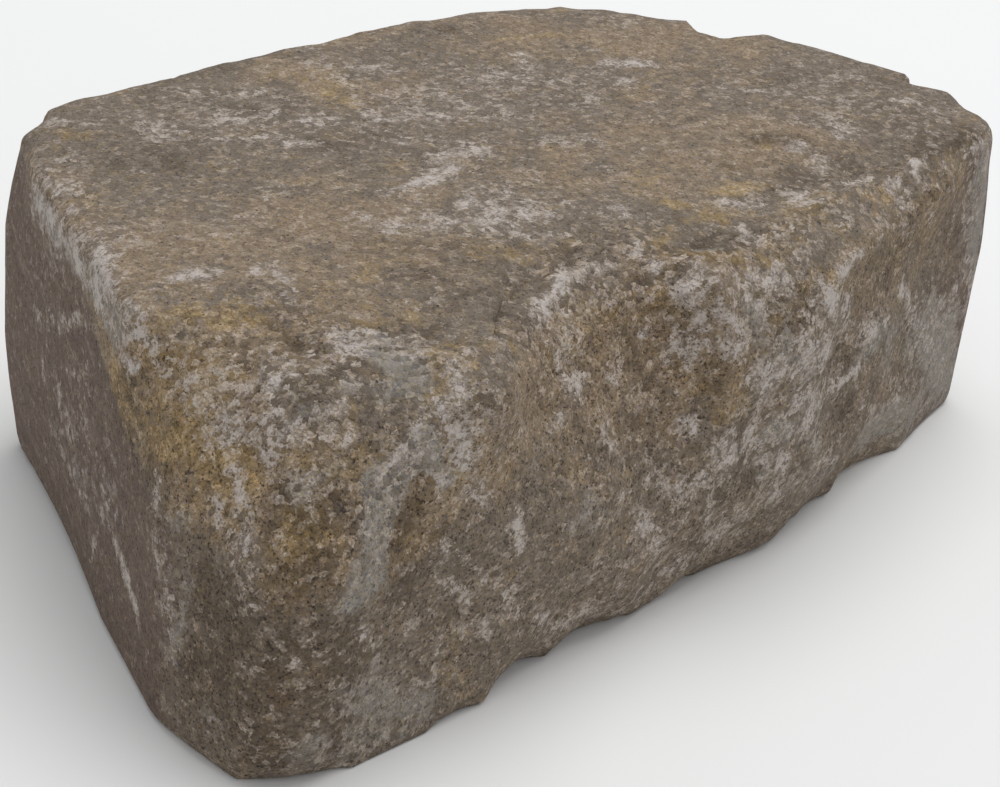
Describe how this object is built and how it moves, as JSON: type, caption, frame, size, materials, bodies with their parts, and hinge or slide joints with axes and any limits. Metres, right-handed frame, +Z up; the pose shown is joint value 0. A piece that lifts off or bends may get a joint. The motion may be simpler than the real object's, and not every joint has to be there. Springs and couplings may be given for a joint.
{
  "type": "retaining wall block",
  "caption": "Tumbled cast concrete wall block, trapezoid in plan, with flat beds, a rough scalloped long face and tapered sides",
  "frame": {"origin": "middle of the bounding box in plan, on the bottom bed", "axes": "+X along the wall face, left to right as one looks at the face; the face looks towards -Y and the back towards +Y; +Z up, from bed to bed"},
  "size_m": [0.3054, 0.18, 0.098],
  "materials": {
    "concrete": "rough dry-cast concrete, tumbled, brown and tan with chalky scuffs"
  },
  "bodies": {
    "root": {"wall_block": "concrete"}
  },
  "joints": []
}
